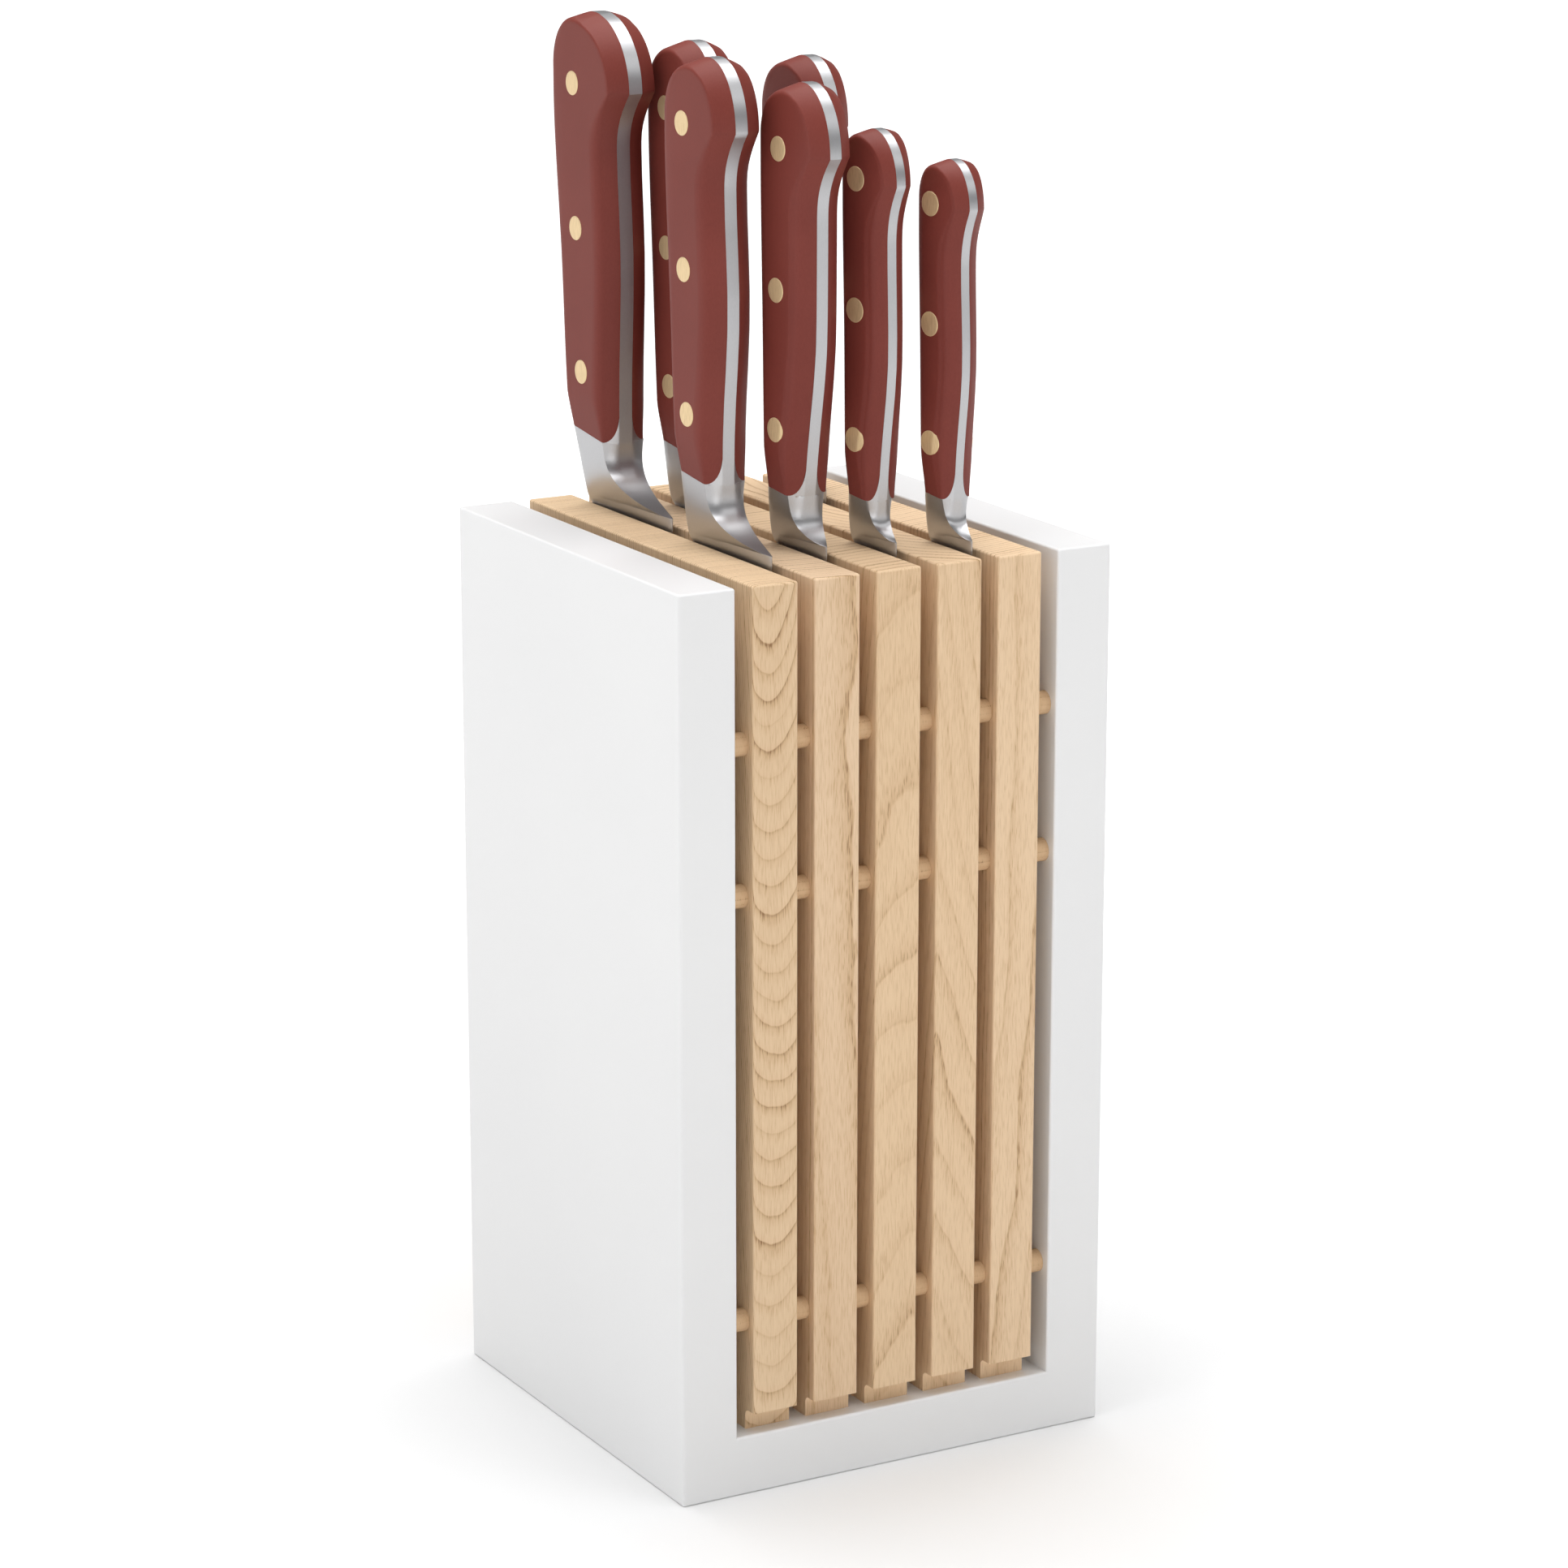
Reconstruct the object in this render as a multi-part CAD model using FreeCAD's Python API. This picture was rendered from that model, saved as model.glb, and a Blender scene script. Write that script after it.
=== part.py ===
import FreeCAD, Part
import math
import os

# Knife block with seven knives, in millimetres.
# Origin: bottom centre of the block. +X runs from the left side panel to the right one,
# -Y is the open front, +Z is up. Every knife stands in its slot with its cutting edge to
# the front and its bolster just above the board tops, and is drawn straight up.

Vector = FreeCAD.Vector

# ---------------------------------------------------------------- driving dimensions: block
BLOCK_HEIGHT = 256.0
BLOCK_DEPTH = 132.0
PANEL_THICKNESS = 17.0
BASE_THICKNESS = 17.0
SHELL_EASE = 0.7

BOARD_COUNT = 5
BOARD_THICKNESS = 13.8
SLOT_WIDTH = 5.2
BOARD_EASE = 0.7
FOOT_HEIGHT = 6.0
FOOT_RECESS = 5.0
FOOT_COVE = 1.8

ROD_DIAMETER = 6.5
ROD_SETBACK = 6.0
ROD_BELOW_TOP = 44.0
ROD_MIDDLE_DROP = 42.0
ROD_ABOVE_BASE = 32.0
ROD_SOCKET = 9.0
GLUE_GAP = 0.05

PIN_DIAMETER = 8.0
PIN_IN_BASE = 18.0
PIN_IN_PANEL = 11.0
PIN_END_SETBACK = 26.0

# ---------------------------------------------------------------- driving dimensions: knives
BLADE_EDGE_THICKNESS = 0.3
BLADE_EDGE_CLEARANCE = 0.3
BLADE_BELLY = 4.5
BLADE_BELLY_SHARE = 0.93
POINT_BEND = 0.72
POINT_ROUNDING = 0.28
SERRATION_PITCH = 8.0
SERRATION_DEPTH = 1.1
SERRATED_SHARE = 0.97

SLOT_CLEARANCE = 0.3
BOLSTER_FOOT = 3.0
BOLSTER_FOOT_HALF = 1.7
BOLSTER_SWELL = 0.65
BOLSTER_LEAN = 1.5
HEEL_RISE = 3.0
HEEL_HALF = 0.5
HEEL_CREASE = 1.2
SCOOP_SWEEP = 3.6
SCOOP_WIDENING = 0.8
SCOOP_FLARE = 1.1
SCOOP_DISH = 5.2
SCOOP_HEEL_DISH = 1.2

NECK_PINCH = 1.2
NECK_PINCH_HEIGHT = 13.0
NECK_CROWN_SHARE = 0.65
WAIST_SHARE = 0.42
HOOK_HOLLOW = 14.0
HOOK_CURVE = 1.9
BACK_CORNER = 2.4
SHOULDER_DROP = 4.0
SHOULDER_SLOPE = 0.8
BUTT_ROUNDING = 0.6
SCALE_SLOPE = 0.17
SCALE_ARCH = 8.0
RIVET_DIAMETER = 6.8
RIVET_SHARES = ((0.197, 0.53), (0.606, 0.58), (1.015, 0.635))

# One line for each knife size below.
#   slot, bay      which gap, counted from the left, and which half of its depth
#   setback        cutting edge at the heel, behind the rods in front of it
#   length, width  blade length below the bolster, and blade height at the heel
#   spine          blade thickness at the spine
#   point          how far the blade's tip lies in front of the spine line
#   neck           height of the lowest point of the scales above the board tops
#   tall           height of the butt above the board tops
#   back           grip's back line behind the blade's spine: at the neck, waist and butt
#   front          grip's front line in front of the blade's spine: at the neck, above the
#                  pinch, at the waist, at the hollow under the hook, and at the hook
#   hook_drop      butt top down to the hook's corner
#   crest          butt's highest point, behind the hook's corner
#   half           half thickness at the back
#   crease, crown  the crease between flat side and front face: half thickness there, and
#                  how far it lies behind the front line
#   tang           thickness of the tang
KNIVES = {
    "chef_knife": dict(
        slot=1, bay="rear", setback=5.2, length=200.0, width=46.0, spine=2.8, point=9.0,
        neck=19.5, tall=139.0, back=(0.4, 5.4, 9.4), front=(18.3, 18.4, 20.0, 18.2, 26.0),
        hook_drop=21.0, crest=21.5, half=8.5, crease=7.7, crown=2.7, tang=4.0, serrated=False),
    "bread_knife": dict(
        slot=2, bay="rear", setback=8.0, length=200.0, width=29.0, spine=2.2, point=7.0,
        neck=17.0, tall=132.0, back=(-3.0, 1.0, 3.2), front=(17.7, 18.2, 21.0, 19.6, 26.2),
        hook_drop=20.0, crest=15.0, half=8.4, crease=7.3, crown=3.1, tang=3.6, serrated=True),
    "cook_knife": dict(
        slot=1, bay="front", setback=8.8, length=160.0, width=42.0, spine=2.6, point=8.0,
        neck=18.0, tall=133.0, back=(-3.0, 1.2, 3.8), front=(17.9, 18.2, 21.1, 19.4, 25.9),
        hook_drop=19.0, crest=14.8, half=8.4, crease=7.4, crown=3.1, tang=3.6, serrated=False),
    "carving_knife": dict(
        slot=2, bay="front", setback=12.4, length=160.0, width=25.6, spine=2.3, point=6.0,
        neck=15.0, tall=127.0, back=(-4.6, -3.2, -2.2), front=(16.2, 18.0, 22.8, 23.0, 30.0),
        hook_drop=19.0, crest=14.6, half=8.4, crease=6.9, crown=3.1, tang=3.4, serrated=False),
    "slicing_knife": dict(
        slot=4, bay="rear", setback=19.2, length=180.0, width=24.0, spine=2.3, point=6.0,
        neck=15.0, tall=125.5, back=(-3.6, -1.6, 0.2), front=(15.6, 17.0, 21.6, 21.4, 28.6),
        hook_drop=19.0, crest=14.8, half=8.4, crease=6.9, crown=3.1, tang=3.5, serrated=False),
    "utility_knife": dict(
        slot=3, bay="front", setback=7.6, length=120.0, width=20.7, spine=1.9, point=4.5,
        neck=13.0, tall=114.0, back=(-3.6, -2.6, -1.4), front=(13.0, 14.5, 18.1, 17.3, 22.1),
        hook_drop=14.5, crest=12.4, half=7.2, crease=5.1, crown=2.2, tang=2.7, serrated=False),
    "paring_knife": dict(
        slot=4, bay="front", setback=-0.6, length=90.0, width=19.3, spine=1.8, point=4.5,
        neck=13.0, tall=105.5, back=(-2.4, -0.9, 0.3), front=(11.6, 12.6, 15.3, 14.2, 18.4),
        hook_drop=13.0, crest=10.4, half=7.0, crease=5.3, crown=2.2, tang=2.5, serrated=False),
}

# ---------------------------------------------------------------- derived places
PITCH = BOARD_THICKNESS + SLOT_WIDTH
INNER_WIDTH = BOARD_COUNT * BOARD_THICKNESS + (BOARD_COUNT + 1) * SLOT_WIDTH
BLOCK_WIDTH = INNER_WIDTH + 2 * PANEL_THICKNESS
INNER_LEFT = -INNER_WIDTH / 2
FRONT = -BLOCK_DEPTH / 2
ROD_ROWS = {"front": FRONT + ROD_SETBACK, "middle": 0.0, "back": -FRONT - ROD_SETBACK}
ROD_LEVELS = {
    "upper": BLOCK_HEIGHT - ROD_BELOW_TOP,
    "middle": BLOCK_HEIGHT - ROD_BELOW_TOP - ROD_MIDDLE_DROP,
    "lower": BASE_THICKNESS + ROD_ABOVE_BASE,
}


def board_left(number):
    """X of the left face of a board, counted from 1."""
    return INNER_LEFT + SLOT_WIDTH + (number - 1) * PITCH


def slot_centre(slot):
    """X of the middle of the gap to the right of board number slot."""
    return board_left(slot) + BOARD_THICKNESS + SLOT_WIDTH / 2


def save(name, shape):
    shape.exportStep("parts/%s.step" % name)


def x_cylinder(diameter, x0, x1, y, z):
    return Part.makeCylinder(diameter / 2, x1 - x0, Vector(x0, y, z), Vector(1, 0, 0))


def slab(x0, x1, reach=1000.0):
    """Everything between two planes square to X."""
    return Part.makeBox(x1 - x0, 2 * reach, 2 * reach, Vector(x0, -reach, -reach))


# ---------------------------------------------------------------- block
def rod_blanks(gap):
    """Every spacer rod as name -> cylinder, made larger all round by gap."""
    left = INNER_LEFT - ROD_SOCKET - gap
    blanks = {}
    for row, y in ROD_ROWS.items():
        for level, z in ROD_LEVELS.items():
            name = "%s_%s_rod" % (row, level)
            blanks[name] = x_cylinder(ROD_DIAMETER + 2 * gap, left, -left, y, z)
    return blanks


def pin_blanks(gap):
    """The hidden pins that join the base to both side panels, made larger by gap."""
    z = BASE_THICKNESS / 2
    end = BLOCK_DEPTH / 2 - PIN_END_SETBACK
    inner = -INNER_LEFT - PIN_IN_BASE - gap
    outer = -INNER_LEFT + PIN_IN_PANEL + gap
    blanks = []
    for y in (-end, 0.0, end):
        blanks.append(x_cylinder(PIN_DIAMETER + 2 * gap, -outer, -inner, y, z))
        blanks.append(x_cylinder(PIN_DIAMETER + 2 * gap, inner, outer, y, z))
    return blanks


def inside_corner(edge):
    """True for the two lines where the base meets the inner faces of the side panels."""
    box = edge.BoundBox
    level = abs(box.ZMin - BASE_THICKNESS) < 0.01 and abs(box.ZMax - BASE_THICKNESS) < 0.01
    return level and box.YLength > BLOCK_DEPTH / 2


def make_shell():
    """Left panel, base and right panel: one U, eased all round, then parted at the joints."""
    block = Part.makeBox(BLOCK_WIDTH, BLOCK_DEPTH, BLOCK_HEIGHT, Vector(-BLOCK_WIDTH / 2, FRONT, 0))
    room = Part.makeBox(INNER_WIDTH, BLOCK_DEPTH, BLOCK_HEIGHT, Vector(INNER_LEFT, FRONT, BASE_THICKNESS))
    shell = block.cut(room)
    shell = shell.makeFillet(SHELL_EASE, [edge for edge in shell.Edges if not inside_corner(edge)])
    shell = shell.cut(list(rod_blanks(GLUE_GAP).values()) + pin_blanks(GLUE_GAP))
    side = BLOCK_WIDTH
    save("left_side_panel", shell.common(slab(-side, INNER_LEFT)))
    save("base_panel", shell.common(slab(INNER_LEFT, -INNER_LEFT)))
    save("right_side_panel", shell.common(slab(-INNER_LEFT, side)))
    save("base_joint_pins", Part.makeCompound(pin_blanks(0.0)))


def make_foot_rabbet(x, face, inward):
    """The step cut out of a board's foot at its front or back, with a coved inner corner."""
    z0 = BASE_THICKNESS
    z1 = z0 + FOOT_HEIGHT
    y1 = face + inward * FOOT_RECESS
    corner = math.sqrt(0.5) * FOOT_COVE
    centre_y = y1 - inward * FOOT_COVE
    centre_z = z1 - FOOT_COVE
    points = [Vector(x, face, z0), Vector(x, y1, z0), Vector(x, y1, centre_z)]
    bend = Part.Arc(points[2], Vector(x, centre_y + inward * corner, centre_z + corner), Vector(x, centre_y, z1))
    rest = [Vector(x, centre_y, z1), Vector(x, face, z1), Vector(x, face, z0)]
    edges = Part.makePolygon(points).Edges + [bend.toShape()] + Part.makePolygon(rest).Edges
    return Part.Face(Part.Wire(edges)).extrude(Vector(BOARD_THICKNESS, 0, 0))


def make_boards():
    holes = list(rod_blanks(GLUE_GAP).values())
    for number in range(1, BOARD_COUNT + 1):
        x = board_left(number)
        height = BLOCK_HEIGHT - BASE_THICKNESS
        board = Part.makeBox(BOARD_THICKNESS, BLOCK_DEPTH, height, Vector(x, FRONT, BASE_THICKNESS))
        eased = [edge for edge in board.Edges if edge.BoundBox.ZMax > BASE_THICKNESS + 0.01]
        board = board.makeFillet(BOARD_EASE, eased)
        rabbets = [make_foot_rabbet(x, FRONT, 1), make_foot_rabbet(x, -FRONT, -1)]
        save("board_%d" % number, board.cut(rabbets + holes))


def make_rods():
    for name, rod in rod_blanks(0.0).items():
        save(name, rod)


# ---------------------------------------------------------------- knives
def eased_line(stations, height):
    """Smooth value at a height, through (height, value) stations and never beyond them."""
    slopes = [(b[1] - a[1]) / (b[0] - a[0]) for a, b in zip(stations, stations[1:])]
    bends = [slopes[0]]
    for before, after in zip(slopes, slopes[1:]):
        rising_together = before * after > 0
        bends.append(2 * before * after / (before + after) if rising_together else 0.0)
    bends.append(0.0)
    index = sum(1 for station in stations[1:-1] if height > station[0])
    (h0, v0), (h1, v1) = stations[index], stations[index + 1]
    step = h1 - h0
    t = min(1.0, max(0.0, (height - h0) / step))
    start = (1 + 2 * t) * (1 - t) ** 2 * v0 + t * (1 - t) ** 2 * step * bends[index]
    finish = t * t * (3 - 2 * t) * v1 + t * t * (t - 1) * step * bends[index + 1]
    return start + finish


def quarter_ellipse(centre_y, centre_z, reach_y, reach_z):
    """A quarter of an ellipse in the YZ plane, from its end on the Y axis up to its top."""
    steps = 8
    points = []
    for index in range(steps + 1):
        angle = math.pi / 2 * index / steps
        points.append(Vector(0, centre_y + reach_y * math.cos(angle), centre_z + reach_z * math.sin(angle)))
    curve = Part.BSplineCurve()
    curve.interpolate(points, InitialTangent=Vector(0, 0, 1), FinalTangent=Vector(0, -reach_y, 0).normalize())
    return curve.toShape()


class Knife:
    """A knife's own lines, in the block's frame, worked out from its driving dimensions."""

    def __init__(self, size):
        self.size = size
        bay_front = ROD_ROWS["front"] if size["bay"] == "front" else ROD_ROWS["middle"]
        self.x = slot_centre(size["slot"]) - (SLOT_WIDTH / 2 - BOLSTER_FOOT_HALF - SLOT_CLEARANCE)
        self.top = BLOCK_HEIGHT
        self.heel = bay_front + ROD_DIAMETER / 2 + size["setback"]
        self.spine = self.heel + size["width"]
        self.neck = size["neck"]
        self.tall = size["tall"]
        self.low = self.neck + NECK_PINCH_HEIGHT
        self.waist = self.neck + WAIST_SHARE * (self.tall - self.neck)
        self.hook = self.tall - size["hook_drop"]
        self.hollow = self.hook - HOOK_HOLLOW
        self.neck_crease_half = size["crease"] - NECK_PINCH

    def grip_front(self, height):
        """Y of the grip's front line."""
        neck, low, waist, hollow, hook = [self.spine - reach for reach in self.size["front"]]
        if height > self.hollow:
            rise = min(1.0, (height - self.hollow) / HOOK_HOLLOW)
            return hollow + (hook - hollow) * rise ** HOOK_CURVE
        return eased_line([(self.neck, neck), (self.low, low), (self.waist, waist), (self.hollow, hollow)], height)

    def grip_back(self, height):
        """Y of the grip's back line."""
        neck, waist, butt = [self.spine + reach for reach in self.size["back"]]
        low = (neck + waist) / 2
        return eased_line([(self.neck, neck), (self.low, low), (self.waist, waist), (self.hook, butt)], height)

    def section(self, height, back, half, corner, crease, crease_half, front, front_half):
        """Closed outline across the knife: blunt back, flat sides, front face between creases."""
        side = [(half - corner, back), (half, back - corner), (crease_half, crease), (front_half, front)]
        outline = side + [(-x, y) for x, y in reversed(side)]
        points = [Vector(self.x + x, y, self.top + height) for x, y in outline]
        return Part.makePolygon(points + points[:1])

    def bolster_section(self, height):
        """Across the bolster: the scoop's edge sweeps back from the heel up to the grip."""
        size = self.size
        rise = max(0.0, (height - HEEL_RISE) / (self.neck - HEEL_RISE))
        sweep = 1.0 - (1.0 - rise) ** SCOOP_SWEEP
        neck_front = self.grip_front(self.neck)
        neck_crease = neck_front + NECK_CROWN_SHARE * size["crown"]
        crease = self.heel + HEEL_CREASE * (1 - sweep) + (neck_crease - self.heel) * sweep
        widening = self.neck_crease_half - SCOOP_FLARE - HEEL_HALF
        crease_half = HEEL_HALF + widening * sweep ** SCOOP_WIDENING + SCOOP_FLARE * rise ** 2
        dish = SCOOP_DISH * sweep * (1.0 - sweep) + SCOOP_HEEL_DISH * sweep * (1.0 - rise)
        front = self.heel + (neck_front - self.heel) * sweep + dish
        front_half = HEEL_HALF / 2 + (size["tang"] / 2 - HEEL_HALF / 2) * sweep
        climb = max(0.0, height / self.neck)
        half = BOLSTER_FOOT_HALF + (size["half"] - NECK_PINCH - BOLSTER_FOOT_HALF) * climb ** BOLSTER_SWELL
        corner = min(half / 2, BACK_CORNER)
        back = self.spine + (self.grip_back(self.neck) - self.spine) * climb ** BOLSTER_LEAN
        return self.section(height, back, half, corner, crease, crease_half, front, front_half)

    def grip_section(self, height):
        size = self.size
        back = self.grip_back(height)
        front = self.grip_front(height)
        return self.section(height, back, size["half"], BACK_CORNER, front + size["crown"], size["crease"],
                            front, size["tang"] / 2)

    def make_hull(self):
        """Bolster, grip and butt as one solid, before it is parted into tang and scales."""
        rises = (0.0, 0.04, 0.11, 0.2, 0.34, 0.52, 0.74, 1.0)
        bolster = [0.0] + [HEEL_RISE + rise * (self.neck - HEEL_RISE) for rise in rises]
        steps = 7
        grip = [self.low + index / steps * (self.hollow - self.low) for index in range(steps)]
        grip += [self.hollow + rise * HOOK_HOLLOW for rise in (0.0, 0.3, 0.55, 0.78, 1.0)]
        grip.append(self.tall + 1.0)
        sections = [self.bolster_section(height) for height in bolster]
        sections += [self.grip_section(height) for height in grip]
        hull = Part.makeLoft(sections, True, True)
        return hull.common(self.side_outline()).common(self.front_outline())

    def side_outline(self):
        """The knife seen from its side: open below the hook, rounded over the butt."""
        hook_y = self.grip_front(self.hook)
        crest_y = hook_y + self.size["crest"]
        back_y = self.grip_back(self.tall) + 0.01
        top = self.top + self.tall
        hook_z = self.top + self.hook
        shoulder_z = top - SHOULDER_SLOPE * (back_y - crest_y) - SHOULDER_DROP
        far = BLOCK_DEPTH / 2
        low_z = self.top - 1.0
        rest = [Vector(0, back_y, shoulder_z), Vector(0, back_y + far, shoulder_z), Vector(0, back_y + far, low_z),
                Vector(0, hook_y - far, low_z), Vector(0, hook_y - far, hook_z), Vector(0, hook_y, hook_z)]
        edges = [quarter_ellipse(crest_y, hook_z, hook_y - crest_y, top - hook_z),
                 quarter_ellipse(crest_y, shoulder_z, back_y - crest_y, top - shoulder_z)]
        edges += Part.makePolygon(rest).Edges
        face = Part.Face(Part.Wire(Part.__sortEdges__(edges)))
        reach = 4 * self.size["half"]
        return face.extrude(Vector(reach, 0, 0)).translated(Vector(self.x - reach / 2, 0, 0))

    def front_outline(self):
        """The knife seen from the front: straight sides with rounded shoulders at the butt."""
        half = self.size["half"]
        radius = BUTT_ROUNDING * half
        top = self.top + self.tall
        reach = 2 * BLOCK_DEPTH
        room = Part.makeBox(2 * half, 2 * reach, self.tall + 1.0, Vector(self.x - half, -reach, self.top - 1.0))
        shoulders = [edge for edge in room.Edges
                     if abs(edge.BoundBox.ZMin - top) < 0.01 and edge.BoundBox.YLength > reach]
        return room.makeFillet(radius, shoulders)

    def scale_room(self, side):
        """Where one scale goes: outside the tang and above an arch that slopes up to the back."""
        inner = self.size["tang"] / 2
        crease = self.neck_crease_half
        outer = 2 * self.size["half"]
        low_z = self.neck
        high_z = low_z + SCALE_ARCH
        lift = math.sqrt(0.5)
        tall = 2 * self.tall
        curve = [Vector(inner, 0, high_z),
                 Vector(crease - (crease - inner) * lift, 0, high_z - SCALE_ARCH * lift),
                 Vector(crease, 0, low_z)]
        arch = Part.BSplineCurve()
        arch.interpolate(curve, InitialTangent=Vector(0, 0, -1), FinalTangent=Vector(1, 0, 0))
        rest = [curve[2], Vector(outer, 0, low_z), Vector(outer, 0, tall), Vector(inner, 0, tall), curve[0]]
        face = Part.Face(Part.Wire([arch.toShape()] + Part.makePolygon(rest).Edges))
        reach = BLOCK_DEPTH
        face.translate(Vector(0, -reach, -reach * SCALE_SLOPE))
        room = face.extrude(Vector(0, 2 * reach, 2 * reach * SCALE_SLOPE))
        if side < 0:
            room = room.mirror(Vector(0, 0, 0), Vector(1, 0, 0))
        return room.translated(Vector(self.x, self.grip_front(self.neck), self.top))

    def rivet_blanks(self):
        """Three rivets along the middle of the grip."""
        reach = self.size["half"] + 1.0
        blanks = []
        for up, across in RIVET_SHARES:
            height = self.neck + up * (self.hook - self.neck)
            front = self.grip_front(height)
            y = front + across * (self.grip_back(height) - front)
            blanks.append(x_cylinder(RIVET_DIAMETER, self.x - reach, self.x + reach, y, self.top + height))
        return blanks

    def edge_line(self, steps):
        """Cutting edge from the heel to the point, as (y, height) pairs."""
        size = self.size
        tip = self.spine - size["point"]
        for index in range(steps + 1):
            along = index / steps
            belly = (1 - BLADE_BELLY_SHARE) * along + BLADE_BELLY_SHARE * along ** BLADE_BELLY
            yield self.heel + (tip - self.heel) * belly, self.top - size["length"] * along

    def plain_edge(self):
        curve = Part.BSplineCurve()
        curve.interpolate([Vector(0, y, z) for y, z in self.edge_line(6)])
        return [curve.toShape()]

    def serrated_edge(self):
        """Scalloped edge: shallow arcs between points, down to the tip."""
        count = round(self.size["length"] * SERRATED_SHARE / SERRATION_PITCH)
        line = list(self.edge_line(count))
        edges = []
        for (y0, z0), (y1, z1) in zip(line, line[1:]):
            middle = Vector(0, (y0 + y1) / 2 + SERRATION_DEPTH, (z0 + z1) / 2)
            edges.append(Part.Arc(Vector(0, y0, z0), middle, Vector(0, y1, z1)).toShape())
        return edges

    def make_blade(self):
        """The blade: a wedge from spine to edge, cut to its outline."""
        size = self.size
        tip = Vector(0, self.spine - size["point"], self.top - size["length"])
        bend = Vector(0, self.spine, self.top - POINT_BEND * size["length"])
        halfway = (1 + POINT_BEND) / 2
        over = Vector(0, self.spine - POINT_ROUNDING * size["point"], self.top - halfway * size["length"])
        edges = self.serrated_edge() if size["serrated"] else self.plain_edge()
        edges.append(Part.Arc(tip, over, bend).toShape())
        heel = Vector(0, self.heel, self.top)
        edges += Part.makePolygon([bend, Vector(0, self.spine, self.top), heel]).Edges
        side = Part.Face(Part.Wire(Part.__sortEdges__(edges)))
        reach = 4 * size["spine"]
        side = side.extrude(Vector(reach, 0, 0)).translated(Vector(-reach / 2, 0, 0))
        half = size["spine"] / 2
        thin = BLADE_EDGE_THICKNESS / 2
        low = self.top - size["length"] - 1.0
        outline = [Vector(-half, self.spine, low), Vector(half, self.spine, low),
                   Vector(thin, self.heel, low), Vector(-thin, self.heel, low)]
        wedge = Part.Face(Part.makePolygon(outline + outline[:1])).extrude(Vector(0, 0, self.top - low))
        return side.common(wedge).translated(Vector(self.x, 0, 0)).fuse(self.make_bolster_foot())

    def make_bolster_foot(self):
        """The short taper, hidden in the slot, from the bolster's foot to the blade."""
        half = self.size["spine"] / 2
        thin = BLADE_EDGE_THICKNESS / 2
        front = self.heel + BLADE_EDGE_CLEARANCE
        lower = self.section(-BOLSTER_FOOT, self.spine - GLUE_GAP, half, half / 2, front + HEEL_CREASE,
                             half / 2, front, thin)
        return Part.makeLoft([lower, self.bolster_section(0.0)], True, True)

    def save_parts(self, name):
        hull = self.make_hull()
        rivets = self.rivet_blanks()
        room_left = self.scale_room(-1)
        room_right = self.scale_room(1)
        forging = hull.cut([room_left, room_right]).cut(rivets).fuse(self.make_blade()).removeSplitter()
        save(name + "_blade", forging)
        save(name + "_left_scale", hull.common(room_left).cut(rivets))
        save(name + "_right_scale", hull.common(room_right).cut(rivets))
        save(name + "_rivets", Part.makeCompound([rivet.common(hull) for rivet in rivets]))


os.makedirs("parts", exist_ok=True)
make_shell()
make_boards()
make_rods()
for knife_name, knife_size in KNIVES.items():
    Knife(knife_size).save_parts(knife_name)
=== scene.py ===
import math

import bpy
import numpy as np
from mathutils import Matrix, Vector
from mathutils.bvhtree import BVHTree


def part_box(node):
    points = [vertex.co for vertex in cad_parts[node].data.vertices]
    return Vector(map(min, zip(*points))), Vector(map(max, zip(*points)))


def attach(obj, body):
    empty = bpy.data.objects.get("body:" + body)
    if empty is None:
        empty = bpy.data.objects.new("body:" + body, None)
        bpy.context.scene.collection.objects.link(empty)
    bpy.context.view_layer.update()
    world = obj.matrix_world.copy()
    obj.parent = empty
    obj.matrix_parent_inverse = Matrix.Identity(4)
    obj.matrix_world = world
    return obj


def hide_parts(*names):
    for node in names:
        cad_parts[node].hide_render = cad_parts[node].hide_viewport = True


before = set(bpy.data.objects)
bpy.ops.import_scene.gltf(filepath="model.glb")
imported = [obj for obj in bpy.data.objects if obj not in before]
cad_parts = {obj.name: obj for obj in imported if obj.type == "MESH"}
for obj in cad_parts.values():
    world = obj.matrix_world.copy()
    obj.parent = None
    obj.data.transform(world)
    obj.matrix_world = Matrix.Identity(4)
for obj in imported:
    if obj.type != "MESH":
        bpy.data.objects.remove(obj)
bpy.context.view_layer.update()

MM = 0.001
BOARDS = 5
KNIVES = ("chef_knife", "bread_knife", "cook_knife", "carving_knife", "slicing_knife", "utility_knife",
          "paring_knife")

# Camera: direction and distance from a point just in front of the block's axis.
VIEW_AZIMUTH = -29.29
VIEW_ELEVATION = 14.84
VIEW_DISTANCE = 1389.6 * MM
VIEW_AIM = Vector((-1.1, -4.7, 182.5)) * MM
LENS = 113.4
WORLD_STRENGTH = 1.0
OVERHEAD_POWER = 66.0
KEY_POWER = 4.0
CARD_POWER = 5.0
FRONT_POWER = 0.08

# Knife details, in metres.
HEEL_RISE = 3.0 * MM
HEEL_HALF = 0.55 * MM
FOOT_HALF = 1.7 * MM
FOOT_DEPTH = 3.0 * MM
SCALE_SLOPE = 0.17
SCALE_ARCH = 8.0 * MM
NECK_PINCH = 1.2 * MM
NECK_PINCH_HEIGHT = 13.0 * MM
NECK_CROWN_SHARE = 0.65
HOOK_HOLLOW = 14.0 * MM
BACK_CORNER = 2.6 * MM
GRIP_ROUNDING = 2.3 * MM
NECK_ROUNDING = 0.5 * MM
BUTT_ROUNDING = 0.5 * MM
RIVET_RADIUS = 3.4 * MM
RIVET_PROUD = 0.12 * MM
BLADE_EDGE = 0.15 * MM


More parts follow.
